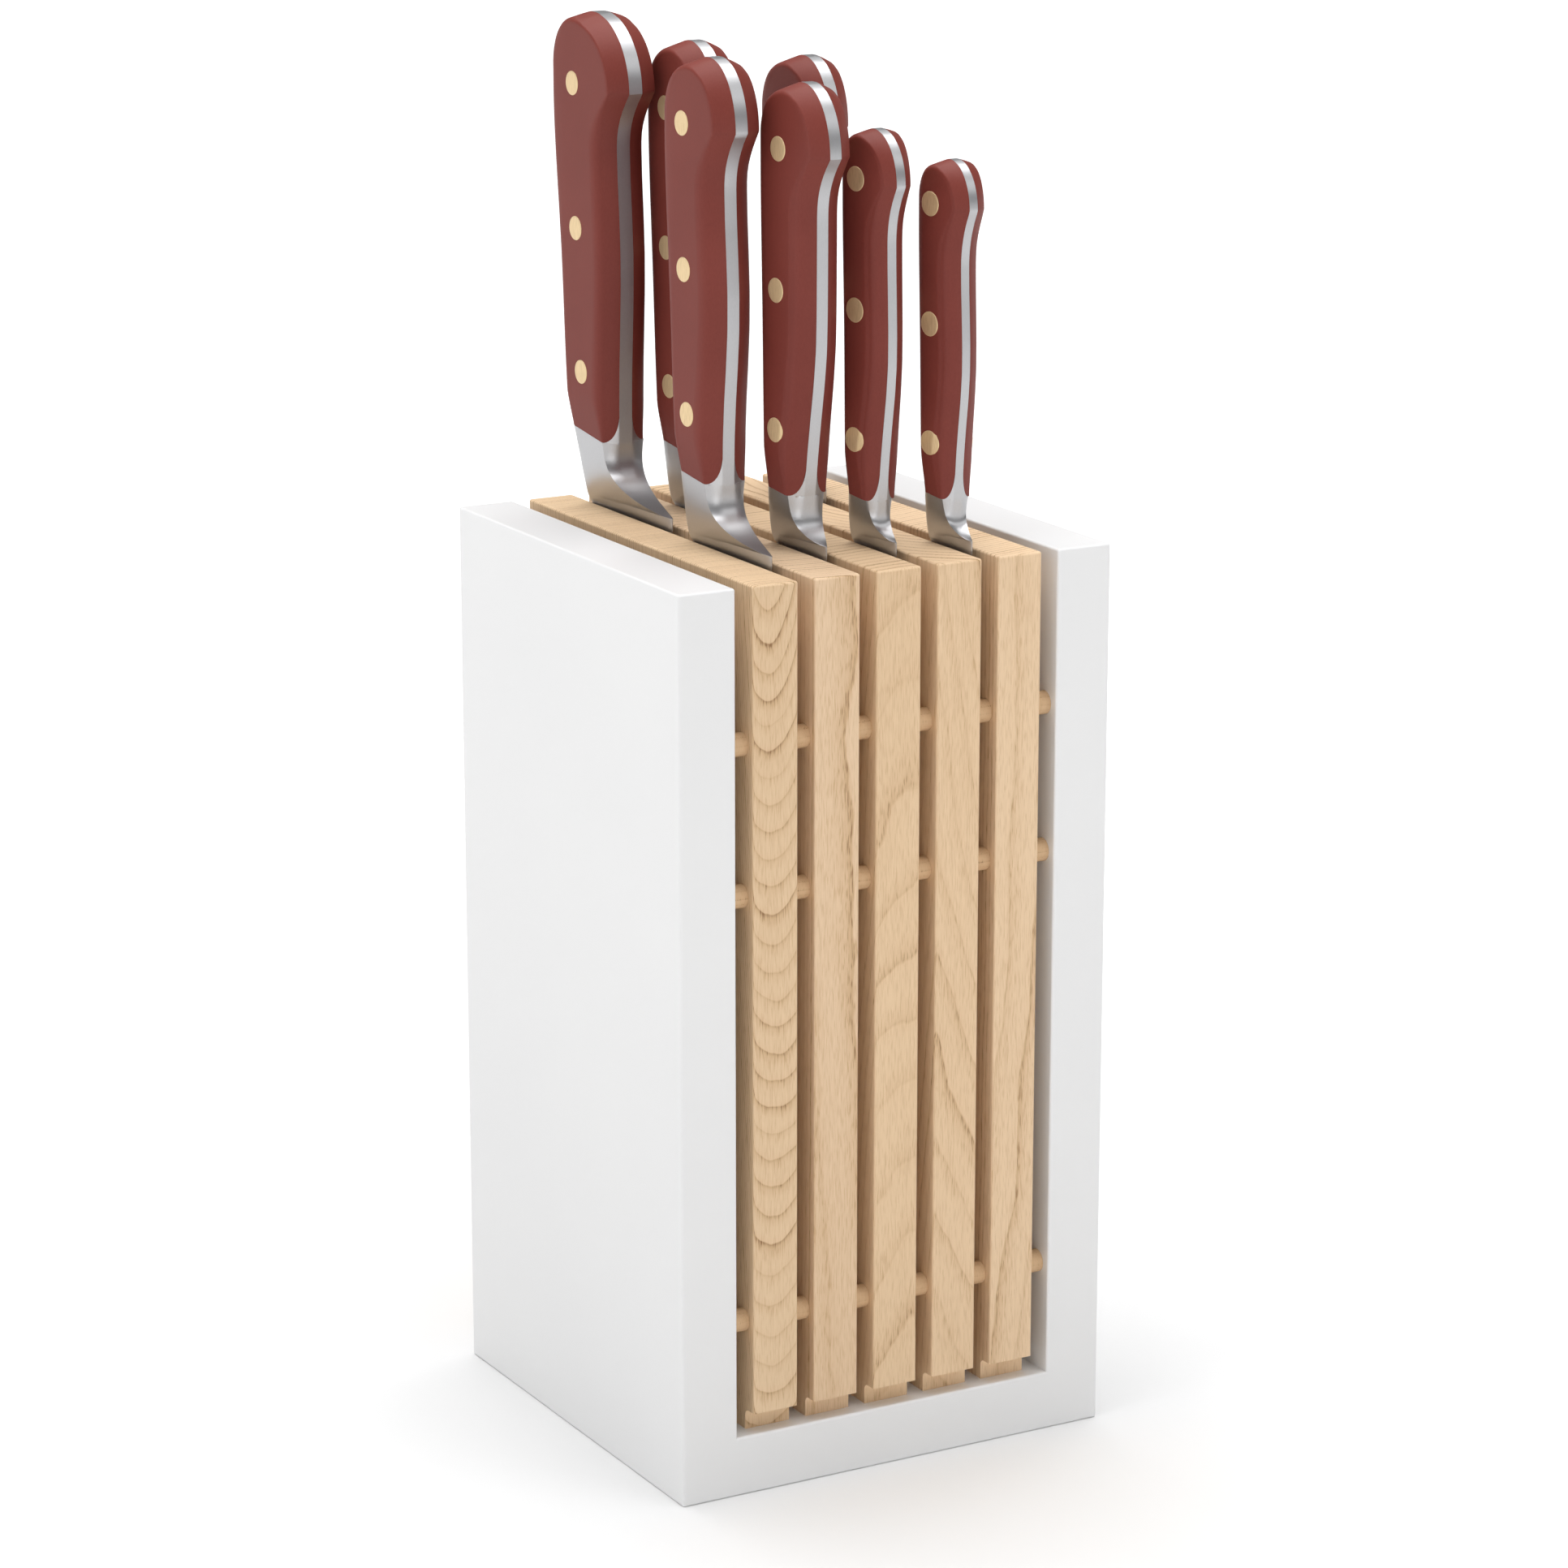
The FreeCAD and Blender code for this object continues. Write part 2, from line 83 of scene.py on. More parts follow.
# ---------------------------------------------------------------- small helpers
def smooth(t):
    t = np.clip(t, 0.0, 1.0)
    return t * t * (3.0 - 2.0 * t)


def mix(a, b, t):
    return a + (b - a) * t


def new_piece(name, points, faces, material, sharp_angle=40.0):
    mesh = bpy.data.meshes.new(name)
    mesh.from_pydata([tuple(map(float, p)) for p in points], [], [tuple(map(int, f)) for f in faces])
    mesh.validate()
    mesh.update()
    mesh.shade_smooth()
    mesh.set_sharp_from_angle(angle=math.radians(sharp_angle))
    mesh.materials.append(material)
    piece = bpy.data.objects.new(name, mesh)
    bpy.context.scene.collection.objects.link(piece)
    return piece


def fix_normals(piece):
    """Turns every face outwards."""
    import bmesh
    work = bmesh.new()
    work.from_mesh(piece.data)
    bmesh.ops.remove_doubles(work, verts=work.verts, dist=2e-6)
    bmesh.ops.recalc_face_normals(work, faces=work.faces)
    work.to_mesh(piece.data)
    work.free()


class Cut:
    """Cross-sections of CAD nodes, square to Z."""

    def __init__(self, *names):
        triangles = []
        for name in names:
            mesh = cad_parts[name].data
            mesh.calc_loop_triangles()
            points = np.array([v.co for v in mesh.vertices])
            corners = np.array([t.vertices for t in mesh.loop_triangles])
            triangles.append(points[corners])
        self.triangles = np.concatenate(triangles)

    def points(self, z):
        found = []
        for a, b in ((0, 1), (1, 2), (2, 0)):
            p, q = self.triangles[:, a], self.triangles[:, b]
            crossing = (p[:, 2] - z) * (q[:, 2] - z) < 0
            p, q = p[crossing], q[crossing]
            share = (z - p[:, 2]) / (q[:, 2] - p[:, 2])
            found.append(p + (q - p) * share[:, None])
        return np.concatenate(found)

    def span(self, z):
        """Front and back of the section at a height."""
        y = self.points(z)[:, 1]
        return y.min(), y.max()


class Line:
    """A value that changes with height, read from the CAD part at even steps."""

    def __init__(self, heights, values):
        self.heights = np.array(heights)
        self.values = np.array(values)

    def __call__(self, z):
        return np.interp(z, self.heights, self.values)


# ---------------------------------------------------------------- knives
def bezier(start, control, end, count):
    """Points of a quadratic curve, without its first one."""
    t = np.linspace(0, 1, count + 1)[1:, None]
    return (1 - t) ** 2 * start + 2 * t * (1 - t) * control + t * t * end


class Knife:
    """Shapes of one knife, drawn over its CAD part. X is measured from the knife's own middle."""

    FRONT_POINTS = 18
    SIDE_POINTS = 8
    BACK_POINTS = 10
    FACET_POINTS = 7
    CORNER_POINTS = 7

    def __init__(self, name):
        self.name = name
        left_low, left_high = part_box(name + "_left_scale")
        right_low, right_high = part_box(name + "_right_scale")
        self.x = (left_high.x + right_low.x) / 2
        self.tang = (right_low.x - left_high.x) / 2
        self.half = (right_high.x - left_low.x) / 2
        self.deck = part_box("board_1")[1].z
        self.neck = left_low.z - self.deck
        self.butt = left_high.z - self.deck
        self.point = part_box(name + "_blade")[0].z - self.deck
        forging = Cut(name + "_blade")
        whole = Cut(name + "_blade", name + "_left_scale", name + "_right_scale")
        self.heel, self.spine = forging.span(self.deck + HEEL_RISE / 2)
        grip = np.linspace(self.neck, self.butt - 0.02 * MM, 420)
        spans = np.array([whole.span(self.deck + h) for h in grip])
        self.hook = grip[int(np.argmin(spans[:, 0]))]
        self.front = Line(grip, self.softened(grip, spans[:, 0], self.neck, self.hook - 3 * MM))
        bend = self.neck + NECK_PINCH_HEIGHT + 3 * MM
        self.back = Line(grip, self.softened(grip, spans[:, 1], bend, self.hook))
        self.neck_front = self.front(self.neck)
        waist = self.neck + 0.42 * (self.butt - self.neck)
        section = whole.points(self.deck + waist)
        depth = section[:, 1] - section[:, 1].min()
        across = np.abs(section[:, 0] - self.x)
        crease = int(np.argmax(across - depth))
        self.crease_half = across[crease]
        self.crown_depth = depth[crease]
        self.crease_ref = self.front(waist) + self.crown_depth
        self.back_ref = self.back(waist) - BACK_CORNER
        steps = int(-self.point / (0.8 * MM))
        blade = np.linspace(self.point + 0.15 * MM, -0.2 * MM, steps)
        spans = np.array([forging.span(self.deck + h) for h in blade])
        self.edge = Line(blade, spans[:, 0])
        self.blade_back = Line(blade, spans[:, 1])
        section = forging.points(self.deck - 20 * MM)
        self.blade_half = np.abs(section[:, 0] - self.x).max()

    @staticmethod
    def softened(heights, values, low, high):
        """Values with short kinks rounded off between two heights."""
        reach = 14
        padded = np.pad(values, reach, mode="edge")
        kernel = np.hanning(2 * reach + 1)
        soft = np.convolve(padded, kernel / kernel.sum(), "valid")
        inside = smooth((heights - low) / (5 * MM)) * smooth((high - heights) / (5 * MM))
        return values + (soft - values) * inside

    # ---- shared surfaces
    def pinch(self, height):
        """How much narrower each side is at the neck."""
        rise = np.clip((height - self.neck) / NECK_PINCH_HEIGHT, 0, 1)
        return NECK_PINCH * (1.0 - mix(rise, smooth(rise), 0.5))

    def side_x(self, y, height):
        """Half thickness of the flat side: thinner to the front, pinched at the neck."""
        lean = (y - self.crease_ref) / (self.back_ref - self.crease_ref)
        return mix(self.crease_half, self.half, np.clip(lean, -1, 1)) - self.pinch(height)

    def crown(self, height):
        """How far the crease lies behind the grip's front line."""
        rise = np.clip((height - self.neck) / NECK_PINCH_HEIGHT, 0, 1)
        return self.crown_depth * mix(NECK_CROWN_SHARE, 1.0, rise)

    def rounding(self, height):
        """Radius along the front crease: crisp at the neck, softer up the grip."""
        rise = np.clip((height - self.neck) / NECK_PINCH_HEIGHT, 0, 1)
        return mix(NECK_ROUNDING, GRIP_ROUNDING, rise)

    def neck_crease(self):
        return self.crease_half - NECK_PINCH

    def arch(self, x):
        """Height of the scale's lower end above the neck, at a distance from the knife's middle."""
        run = np.clip((self.neck_crease() - x) / (self.neck_crease() - self.tang), 0, 1)
        return SCALE_ARCH * (1.0 - np.sqrt(np.maximum(0.0, 1.0 - run * run)))

    def arch_half(self, rise):
        """Half width of the steel left between the scales at a height above the neck."""
        run = math.sqrt(max(0.0, 1.0 - (1.0 - rise / SCALE_ARCH) ** 2))
        return mix(self.neck_crease(), self.tang, run)

    def edge_profile(self, crease_x, crown, rounding):
        """From the tang to the flat side: facet, rounded crease. Pairs of (x, inset)."""
        start = np.array([self.tang + 0.02 * MM, 0.0])
        crease = np.array([crease_x, crown])
        facet = crease - start
        length = np.linalg.norm(facet)
        take = min(rounding, 0.6 * length)
        leave = crease - facet * take / length
        t = np.linspace(0, 1, self.FACET_POINTS)[:, None]
        bulge = np.stack([np.zeros(self.FACET_POINTS), -0.05 * crown * np.sin(math.pi * t[:, 0])], 1)
        flat = mix(start, leave, t) + bulge
        return np.concatenate([flat, bezier(leave, crease, crease + np.array([0.0, take]), self.CORNER_POINTS)])

    # ---- forging
    def bolster_half(self, height, shear):
        """Half section of the bolster, from the middle of its front to the middle of its back."""
        rise = max(0.0, (height - HEEL_RISE) / (self.neck - HEEL_RISE))
        sweep = 1.0 - (1.0 - rise) ** 3.6
        neck_crown = self.crown(self.neck)
        crease_y = self.heel + 1.2 * MM * (1 - sweep) + (self.neck_front + neck_crown - self.heel) * sweep
        flare = 1.1 * MM
        crease_x = HEEL_HALF + (self.neck_crease() - flare - HEEL_HALF) * sweep ** 0.8 + flare * rise ** 2
        dish = 5.2 * MM * sweep * (1 - sweep) + 1.2 * MM * sweep * (1 - rise)
        centre = self.heel + (self.neck_front - self.heel) * sweep + dish
        climb = max(0.0, height / self.neck)
        neck_back = self.sheared_back(self.neck, shear)
        half = mix(FOOT_HALF, self.half - NECK_PINCH, climb ** 0.65)
        corner = min(half * 0.45, BACK_CORNER)
        back = mix(self.spine, neck_back, climb ** 1.5)
        x = np.linspace(0, crease_x, self.FRONT_POINTS)
        flat = min(self.tang, crease_x * 0.3) * sweep
        share = np.clip((x - flat) / (crease_x - flat), 0, 1)
        front = np.stack([x, centre + (crease_y - centre) * share ** mix(2.0, 1.3, rise ** 3)], 1)
        run = np.linspace(0, 1, self.SIDE_POINTS + 1)[1:]
        side = np.stack([mix(crease_x, half, run), mix(crease_y, back - corner, run)], 1)
        arc = bezier(side[-1], np.array([half, back]), np.array([half - corner, back]), self.BACK_POINTS - 1)
        return np.concatenate([front, side, arc, np.array([[0.0, back]])])

    def sheared_back(self, height, shear):
        """Back line where a leaning ring meets it."""
        back = self.back(height)
        for _ in range(3):
            back = self.back(height + shear * (back - self.neck_front))
        return back

    def steel_half(self, height, limit, shear):
        """Half section of the steel between the scales, cut off at a distance from the middle."""
        front = self.front(height)
        back = self.sheared_back(height, shear)
        crown = self.crown(height)
        profile = self.edge_profile(self.side_x(front + crown, height), crown, self.rounding(height))
        x = np.linspace(0, limit, self.FRONT_POINTS)
        nose = np.stack([x, front + np.interp(x, profile[:, 0], profile[:, 1])], 1)
        tail_rise = height + shear * (back - self.neck_front)
        profile = self.edge_profile(self.side_x(back, tail_rise), 0.2 * MM, BACK_CORNER)
        tail_y = back - np.interp(limit, profile[:, 0], profile[:, 1])
        run = np.linspace(0, 1, self.SIDE_POINTS + 1)[1:]
        side = np.stack([np.full(len(run), limit), mix(nose[-1, 1], tail_y, run)], 1)
        if limit > self.tang * 1.2:
            side[:, 0] = np.minimum(limit, [self.side_x(y, height) for y in side[:, 1]])
        x = np.linspace(limit, 0, self.BACK_POINTS + 1)[1:]
        tail = np.stack([x, back - np.interp(x, profile[:, 0], profile[:, 1])], 1)
        return np.concatenate([nose, side, tail])

    def blade_section(self, height):
        """Half section of the blade: a slim wedge with a ground edge."""
        edge, back = self.edge(height), self.blade_back(height)
        taper = mix(0.55, 1.0, 1.0 - height / self.point)
        half = self.blade_half * taper * min(1.0, (back - edge) / (6 * MM))
        bevel = min(1.4 * MM, 0.25 * (back - edge))
        full = self.spine - self.heel
        bevel_half = min(half, BLADE_EDGE + (half - BLADE_EDGE) * bevel / full)
        x = np.linspace(0, bevel_half, self.FRONT_POINTS)
        front = np.stack([x, edge + bevel * x / max(bevel_half, 1e-6)], 1)
        run = np.linspace(0, 1, self.SIDE_POINTS + 1)[1:]
        corner = min(0.35 * half, 0.3 * (back - edge))
        side = np.stack([mix(bevel_half, half, run), mix(edge + bevel, back - corner, run)], 1)
        arc = bezier(side[-1], np.array([half, back]), np.array([half - corner, back]), self.BACK_POINTS - 1)
        return np.concatenate([front, side, arc, np.array([[0.0, back]])])

    def ring(self, half_section, height, shear):
        """A closed ring from a half section. The ring leans: it is higher at the back by shear."""
        x = np.concatenate([half_section[:, 0], -half_section[-2:0:-1, 0]])
        y = np.concatenate([half_section[:, 1], half_section[-2:0:-1, 1]])
        z = self.deck + height + shear * (y - self.neck_front)
        return np.stack([x + self.x, y, z], 1)

    def forging_rings(self):
        rings = []
        steps = len(self.edge.heights) if self.name == "bread_knife" else 64
        for height in np.linspace(self.edge.heights[0], -FOOT_DEPTH, steps):
            rings.append(self.ring(self.blade_section(height), height, 0.0))
        foot = self.blade_section(-FOOT_DEPTH)
        first = self.bolster_half(0.0, 0.0)
        for share in (0.35, 0.7):
            rings.append(self.ring(mix(foot, first, share), -FOOT_DEPTH * (1 - share), 0.0))
        for height in np.linspace(0, HEEL_RISE, 5)[:-1]:
            rings.append(self.ring(self.bolster_half(height, 0.0), height, 0.0))
        for share in np.linspace(0, 1, 52) ** 1.9:
            height = mix(HEEL_RISE, self.neck, share)
            shear = SCALE_SLOPE * share
            rings.append(self.ring(self.bolster_half(height, shear), height, shear))
        for share in np.linspace(0, math.pi / 2, 18)[1:]:
            rise = SCALE_ARCH * (1.0 - math.cos(share))
            section = self.steel_half(self.neck + rise, self.arch_half(rise), SCALE_SLOPE)
            rings.append(self.ring(section, self.neck + rise, SCALE_SLOPE))
        first = self.neck + SCALE_ARCH
        heights = np.concatenate([np.linspace(first, self.hook, 64)[1:],
                                  mix(self.hook, self.butt, np.sin(np.linspace(0, math.pi / 2, 44)[1:]))])
        for height in heights:
            shear = SCALE_SLOPE * (1.0 - smooth((height - first) / (self.hook - first)))
            top = min(height, self.butt - 0.03 * MM)
            rings.append(self.ring(self.steel_half(top, self.tang, shear), top, shear))
        return rings

    def make_forging(self, material):
        rings = self.forging_rings()
        count = len(rings[0])
        faces = []
        for r in range(len(rings) - 1):
            for i in range(count):
                j = (i + 1) % count
                faces.append((r * count + i, r * count + j, (r + 1) * count + j, (r + 1) * count + i))
        faces.append(tuple(range(count)))
        last = (len(rings) - 1) * count
        faces.append(tuple(range(last + count - 1, last - 1, -1)))
        piece = new_piece(self.name + "_forging", np.concatenate(rings), faces, material, 38)
        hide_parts(self.name + "_blade")
        return piece

    # ---- scales
    def outline(self):
        """Side outline of the grip above the hook's corner, from front to back over the butt."""
        rise = np.sin(np.linspace(0, math.pi / 2, 120))
        heights = mix(self.hook, self.butt - 0.02 * MM, rise)
        up = np.stack([self.front(heights), heights], 1)
        down = np.stack([self.back(heights), heights], 1)[::-1]
        line = np.concatenate([up, down])
        length = np.concatenate([[0], np.cumsum(np.linalg.norm(np.diff(line, axis=0), axis=1))])
        even = np.linspace(0, length[-1], 81)
        return np.stack([np.interp(even, length, line[:, 0]), np.interp(even, length, line[:, 1])], 1)

    @staticmethod
    def inward(over):
        """Unit vectors that point into the outline."""
        tangent = np.gradient(over, axis=0)
        normal = np.stack([tangent[:, 1], -tangent[:, 0]], 1)
        for _ in range(6):
            normal[1:-1] = (normal[:-2] + 2 * normal[1:-1] + normal[2:]) / 4
            normal /= np.linalg.norm(normal, axis=1)[:, None]
        normal[0], normal[-1] = (1.0, 0.0), (-1.0, 0.0)
        for index in range(1, 6):
            normal[index] = mix(normal[0], normal[index], smooth(index / 6))
        return normal / np.linalg.norm(normal, axis=1)[:, None]

    def column_place(self, y, height, direction, crown, rounding, low_end):
        """Points across the scale's edge at one place of its outline."""
        crease_x = self.side_x(y + direction[0] * crown, height)
        profile = self.edge_profile(crease_x, crown, rounding)
        profile = np.concatenate([profile, [[0.0, profile[-1, 1] + 1.0 * MM]]])
        points = []
        for index, (x, inset) in enumerate(profile):
            py = y + direction[0] * inset
            pz = height + direction[1] * inset
            if index >= len(profile) - 2:
                x = self.side_x(py, pz)
            if low_end:
                pz = self.neck + SCALE_SLOPE * (py - self.neck_front) + self.arch(x)
            points.append((x, py, self.deck + pz))
        return np.array(points)

    def scale_columns(self):
        """Skin of the scale's edge: one row of points for each place along its outline."""
        rows = 46
        over = self.outline()
        inward = self.inward(over)
        places = []
        ahead, behind = np.array([1.0, 0.0]), np.array([-1.0, 0.0])
        for row in range(rows):
            height = mix(self.neck, self.hook, (row / rows) ** 1.15)
            places.append((self.front(height), height, ahead, self.crown(height), row == 0, row / rows))
        for index, (y, height) in enumerate(over):
            turn = smooth((index / (len(over) - 1) - 0.38) / 0.42)
            places.append((y, height, inward[index], mix(self.crown_depth, 0.2 * MM, turn), False, 2.0 + turn))
        for row in range(rows - 1, -1, -1):
            height = mix(self.neck, self.hook, (row / rows) ** 1.15)
            places.append((self.back(height), height, behind, 0.2 * MM, row == 0, 3.0))
        table = []
        for y, height, direction, crown, low_end, stage in places:
            if stage < 2.0:
                rounding = mix(self.rounding(height), BUTT_ROUNDING, smooth((stage - 0.88) / 0.12))
            else:
                rounding = mix(BUTT_ROUNDING, BACK_CORNER, min(1.0, stage - 2.0))
            table.append(self.column_place(y, height, direction, crown, rounding, low_end))
        return np.array(table), rows

    def fitted_to_arch(self, table, rows):
        """Spreads the lower rows evenly between the arch and the grip above it."""
        settle = 14
        for edge in (range(settle + 1), range(len(table) - 1, len(table) - 2 - settle, -1)):
            edge = list(edge)
            low, high = table[edge[0]], table[edge[-1]]
            for step, row in enumerate(edge[1:-1], 1):
                table[row][:, 2] = mix(low[:, 2], high[:, 2], step / settle)
                for index, (x, y, z) in enumerate(table[row]):
                    table[row][index] = self.on_skin(index, z, row < len(table) / 2)
            table[edge[0]] = [self.on_skin(i, z, edge[0] == 0) for i, z in enumerate(low[:, 2])]
        return table

    def on_skin(self, index, z, on_front):
        """The skin's point at a height, for one place of the edge profile."""
        height = z - self.deck
        y = self.front(height) if on_front else self.back(height)
        sign = 1.0 if on_front else -1.0
        crown = self.crown(height) if on_front else 0.2 * MM
        rounding = self.rounding(height) if on_front else BACK_CORNER
        profile = self.edge_profile(self.side_x(y + sign * crown, height), crown, rounding)
        profile = np.concatenate([profile, [[0.0, profile[-1, 1] + 1.0 * MM]]])
        x, inset = profile[index]
        py = y + sign * inset
        if index >= len(profile) - 2:
            x = self.side_x(py, height)
        return (x, py, z)

    def make_scale(self, side, material):
        """One handle scale: facet in front, rounded back, flat side, and a curved lower end."""
        table, rows = self.scale_columns()
        table = self.fitted_to_arch(table, rows)
        count, width = table.shape[:2]
        points = [tuple(p) for p in table.reshape(-1, 3)]
        faces = []
        for i in range(count - 1):
            for c in range(width - 1):
                faces.append((i * width + c, i * width + c + 1, (i + 1) * width + c + 1, (i + 1) * width + c))
        spans = 10
        grid = []
        for i in range(rows + 1):
            p, q = table[i, -1], table[count - 1 - i, -1]
            row = [i * width + width - 1]
            for s in range(1, spans):
                y = mix(p[1], q[1], s / spans)
                z = mix(p[2], q[2], s / spans)
                points.append((self.side_x(y, z - self.deck), y, z))
                row.append(len(points) - 1)
            row.append((count - 1 - i) * width + width - 1)
            grid.append(row)
        for below, above in zip(grid, grid[1:]):
            for s in range(spans):
                faces.append((below[s], below[s + 1], above[s + 1], above[s]))
        rim = [i * width + width - 1 for i in range(count - 2 - rows, rows, -1)]
        faces.append(tuple(grid[-1]) + tuple(rim))
        inner = [i * width for i in range(count)]
        for c in range(width - 1):
            low, far = c, (count - 1) * width + c
            faces.append((low, low + 1, far + 1, far))
        faces.append(tuple(grid[0]))
        faces.append(tuple(inner))
        placed = [(self.x + side * x, y, z) for x, y, z in points]
        name = self.name + ("_grip_right" if side > 0 else "_grip_left")
        piece = new_piece(name, placed, faces, material, 44)
        fix_normals(piece)
        piece.data.set_sharp_from_angle(angle=math.radians(44))
        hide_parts(self.name + ("_right_scale" if side > 0 else "_left_scale"))
        return piece

    def skin_hit(self, skin, side, y, z):
        """Distance of a scale's outer skin from the knife's middle, at one point."""
        start = Vector((self.x + side * 30 * MM, y, z))
        place = skin.ray_cast(start, Vector((-side, 0, 0)))[0]
        return abs(place.x - self.x) if place else self.side_x(y, z - self.deck)

    # ---- rivets
    def make_rivets(self, scales, material):
        skins = {side: BVHTree.FromPolygons([v.co for v in scale.data.vertices],
                                            [tuple(p.vertices) for p in scale.data.polygons])
                 for side, scale in scales.items()}
        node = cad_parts[self.name + "_rivets"].data
        heights = np.array([v.co.z for v in node.vertices])
        depths = np.array([v.co.y for v in node.vertices])
        order = np.argsort(heights)
        gaps = np.where(np.diff(heights[order]) > 5 * MM)[0]
        groups = np.split(order, gaps + 1)
        points, faces = [], []
        around = 48
        profile = [(0.0, RIVET_RADIUS), (0.85, RIVET_RADIUS), (0.97, RIVET_RADIUS - 0.06 * MM)]
        profile += [(1.0, (RIVET_RADIUS - 0.2 * MM) * share) for share in (1.0, 0.8, 0.6, 0.4, 0.2)]
        for group in groups:
            z = (heights[group].min() + heights[group].max()) / 2
            y = (depths[group].min() + depths[group].max()) / 2
            for side in (-1, 1):
                base = len(points)
                for share, radius in profile:
                    for a in range(around):
                        angle = 2 * math.pi * a / around
                        py = y + radius * math.cos(angle)
                        pz = z + radius * math.sin(angle)
                        face_x = self.skin_hit(skins[side], side, py, pz) + RIVET_PROUD
                        points.append((self.x + side * (face_x - (1 - share) * 1.2 * MM), py, pz))
                for r in range(len(profile) - 1):
                    for a in range(around):
                        b = (a + 1) % around
                        faces.append((base + r * around + a, base + r * around + b,
                                      base + (r + 1) * around + b, base + (r + 1) * around + a))
                faces.append(tuple(base + a for a in range(around)))
                last = base + (len(profile) - 1) * around
                face_x = self.skin_hit(skins[side], side, y, z) + RIVET_PROUD
                points.append((self.x + side * face_x, y, z))
                for a in range(around):
                    faces.append((last + a, last + (a + 1) % around, len(points) - 1))
        piece = new_piece(self.name + "_rivet_heads", points, faces, material, 60)
        fix_normals(piece)
        piece.data.set_sharp_from_angle(angle=math.radians(60))
        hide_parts(self.name + "_rivets")
        return piece


# ---------------------------------------------------------------- materials
class Nodes:
    """A material and short calls for building its node tree."""

    def __init__(self, name):
        self.material = bpy.data.materials.new(name)
        self.material.use_nodes = True
        self.tree = self.material.node_tree
        self.shader = self.tree.nodes["Principled BSDF"]

    def add(self, kind, **values):
        node = self.tree.nodes.new(kind)
        for key, value in values.items():
            if hasattr(node, key):
                setattr(node, key, value)
            else:
                node.inputs[key.replace("_", " ")].default_value = value
        return node

    def link(self, source, target):
        self.tree.links.new(source, target)

    def math(self, operation, a, b=None, c=None):
        node = self.add("ShaderNodeMath", operation=operation)
        for index, value in enumerate((a, b, c)):
            if value is None:
                continue
            if isinstance(value, (int, float)):
                node.inputs[index].default_value = value
            else:
                self.link(value, node.inputs[index])
        return node.outputs[0]

    def place(self, scale=(1, 1, 1), move=(0, 0, 0), turn=(0, 0, 0)):
        """Object coordinates, turned, moved and scaled."""
        source = self.add("ShaderNodeTexCoord").outputs["Object"]
        node = self.add("ShaderNodeMapping")
        node.inputs["Location"].default_value = move
        node.inputs["Rotation"].default_value = turn
        node.inputs["Scale"].default_value = scale
        self.link(source, node.inputs["Vector"])
        return node.outputs[0]

    def noise(self, vector, scale, detail=3.0, roughness=0.5, distortion=0.0):
        node = self.add("ShaderNodeTexNoise")
        node.inputs["Scale"].default_value = scale
        node.inputs["Detail"].default_value = detail
        node.inputs["Roughness"].default_value = roughness
        node.inputs["Distortion"].default_value = distortion
        self.link(vector, node.inputs["Vector"])
        return node.outputs["Fac"]

    def ramp(self, value, stops):
        node = self.add("ShaderNodeValToRGB")
        elements = node.color_ramp.elements
        while len(elements) < len(stops):
            elements.new(0.5)
        for element, (place, colour) in zip(elements, stops):
            element.position = place
            element.color = colour if len(colour) == 4 else (*colour, 1.0)
        self.link(value, node.inputs["Fac"])
        return node.outputs["Color"]

    def bump(self, height, strength, distance):
        node = self.add("ShaderNodeBump")
        node.inputs["Strength"].default_value = strength
        node.inputs["Distance"].default_value = distance
        self.link(height, node.inputs["Height"])
        self.link(node.outputs["Normal"], self.shader.inputs["Normal"])


